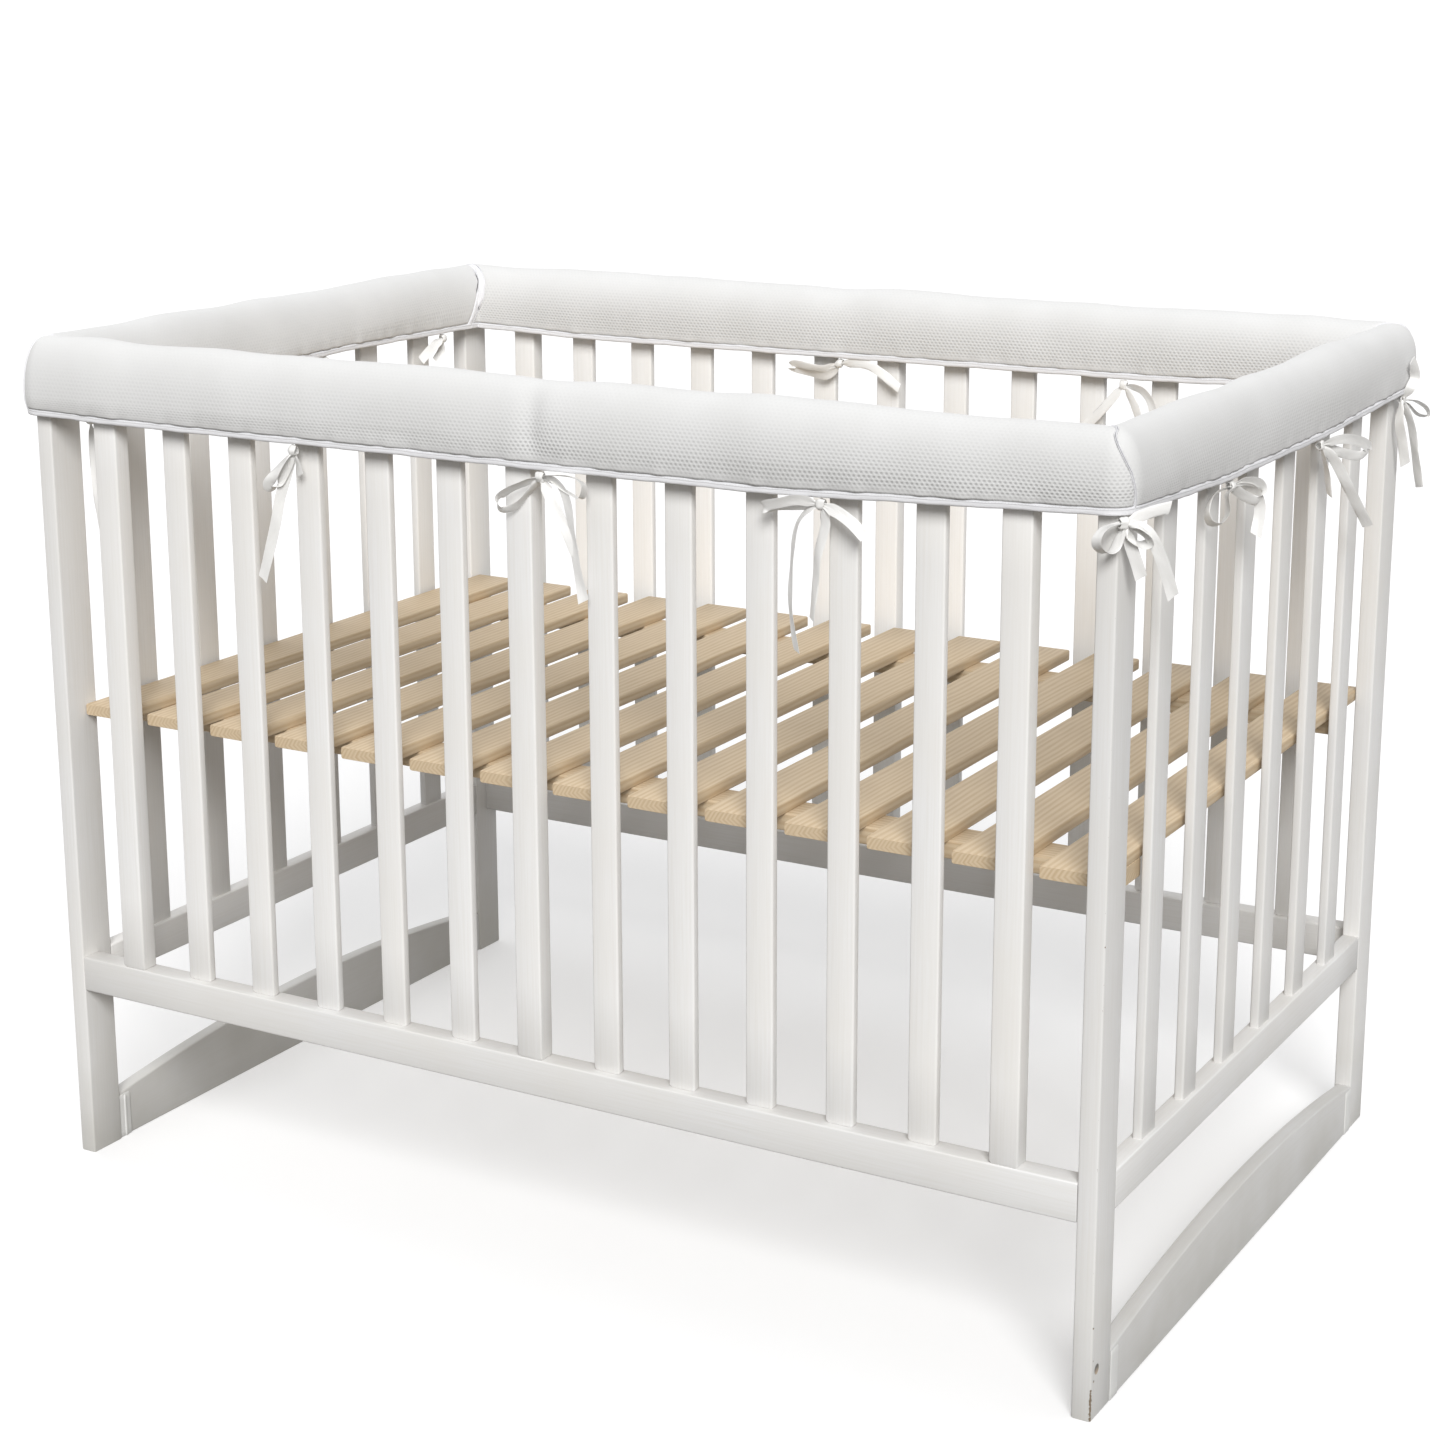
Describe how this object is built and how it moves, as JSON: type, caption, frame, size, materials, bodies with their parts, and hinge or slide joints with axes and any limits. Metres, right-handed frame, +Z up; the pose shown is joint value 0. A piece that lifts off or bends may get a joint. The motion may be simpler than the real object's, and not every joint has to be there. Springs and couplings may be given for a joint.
{
  "type": "crib rail cover on a crib",
  "caption": "Padded mesh cloth covers tied with ribbon bows over the top rails of a plain white slatted crib.",
  "frame": {"origin": "on the floor, under the middle of the whole with its ties", "axes": "+X along the crib to the right end as seen from the front, +Y from the front to the back, +Z up"},
  "size_m": [1.3098, 0.8614, 0.9418],
  "materials": {
    "cover_mesh": "white honeycomb spacer mesh, matt, padded",
    "binding": "plain white woven bias binding, matt",
    "ribbon": "white satin ribbon, soft sheen",
    "painted_wood": "white painted wood, semi-matt, a little worn at its edges",
    "base_wood": "bare pale wood, sanded",
    "bracket": "pale moulded plastic"
  },
  "bodies": {
    "root": {"base": "base_wood", "binding_back": "binding", "binding_front": "binding", "binding_left": "binding", "binding_right": "binding", "cover_back": "cover_mesh", "cover_front": "cover_mesh", "cover_left": "cover_mesh", "cover_right": "cover_mesh", "end_frame_left": "painted_wood", "end_frame_right": "painted_wood", "foot_board_left": "painted_wood", "foot_board_right": "painted_wood", "post_back_left": "painted_wood", "post_back_right": "painted_wood", "post_front_left": "painted_wood", "post_front_right": "painted_wood", "rail_lower_back": "painted_wood", "rail_lower_front": "painted_wood", "rail_top_back": "painted_wood", "rail_top_front": "painted_wood", "slat_back_01": "painted_wood", "slat_back_02": "painted_wood", "slat_back_03": "painted_wood", "slat_back_04": "painted_wood", "slat_back_05": "painted_wood", "slat_back_06": "painted_wood", "slat_back_07": "painted_wood", "slat_back_08": "painted_wood", "slat_back_09": "painted_wood", "slat_back_10": "painted_wood", "slat_back_11": "painted_wood", "slat_back_12": "painted_wood", "slat_back_13": "painted_wood", "slat_front_01": "painted_wood", "slat_front_02": "painted_wood", "slat_front_03": "painted_wood", "slat_front_04": "painted_wood", "slat_front_05": "painted_wood", "slat_front_06": "painted_wood", "slat_front_07": "painted_wood", "slat_front_08": "painted_wood", "slat_front_09": "painted_wood", "slat_front_10": "painted_wood", "slat_front_11": "painted_wood", "slat_front_12": "painted_wood", "slat_front_13": "painted_wood", "tie_back_left": "ribbon", "tie_back_right": "ribbon", "tie_corner_back_left": "ribbon", "tie_corner_back_right": "ribbon", "tie_corner_front_right": "ribbon", "tie_corner_left_inner": "ribbon", "tie_corner_left_outer": "ribbon", "tie_front_left": "ribbon", "tie_front_middle": "ribbon", "tie_front_right": "ribbon", "tie_left": "ribbon", "tie_right_back": "ribbon", "tie_right_front": "ribbon"}
  },
  "joints": []
}
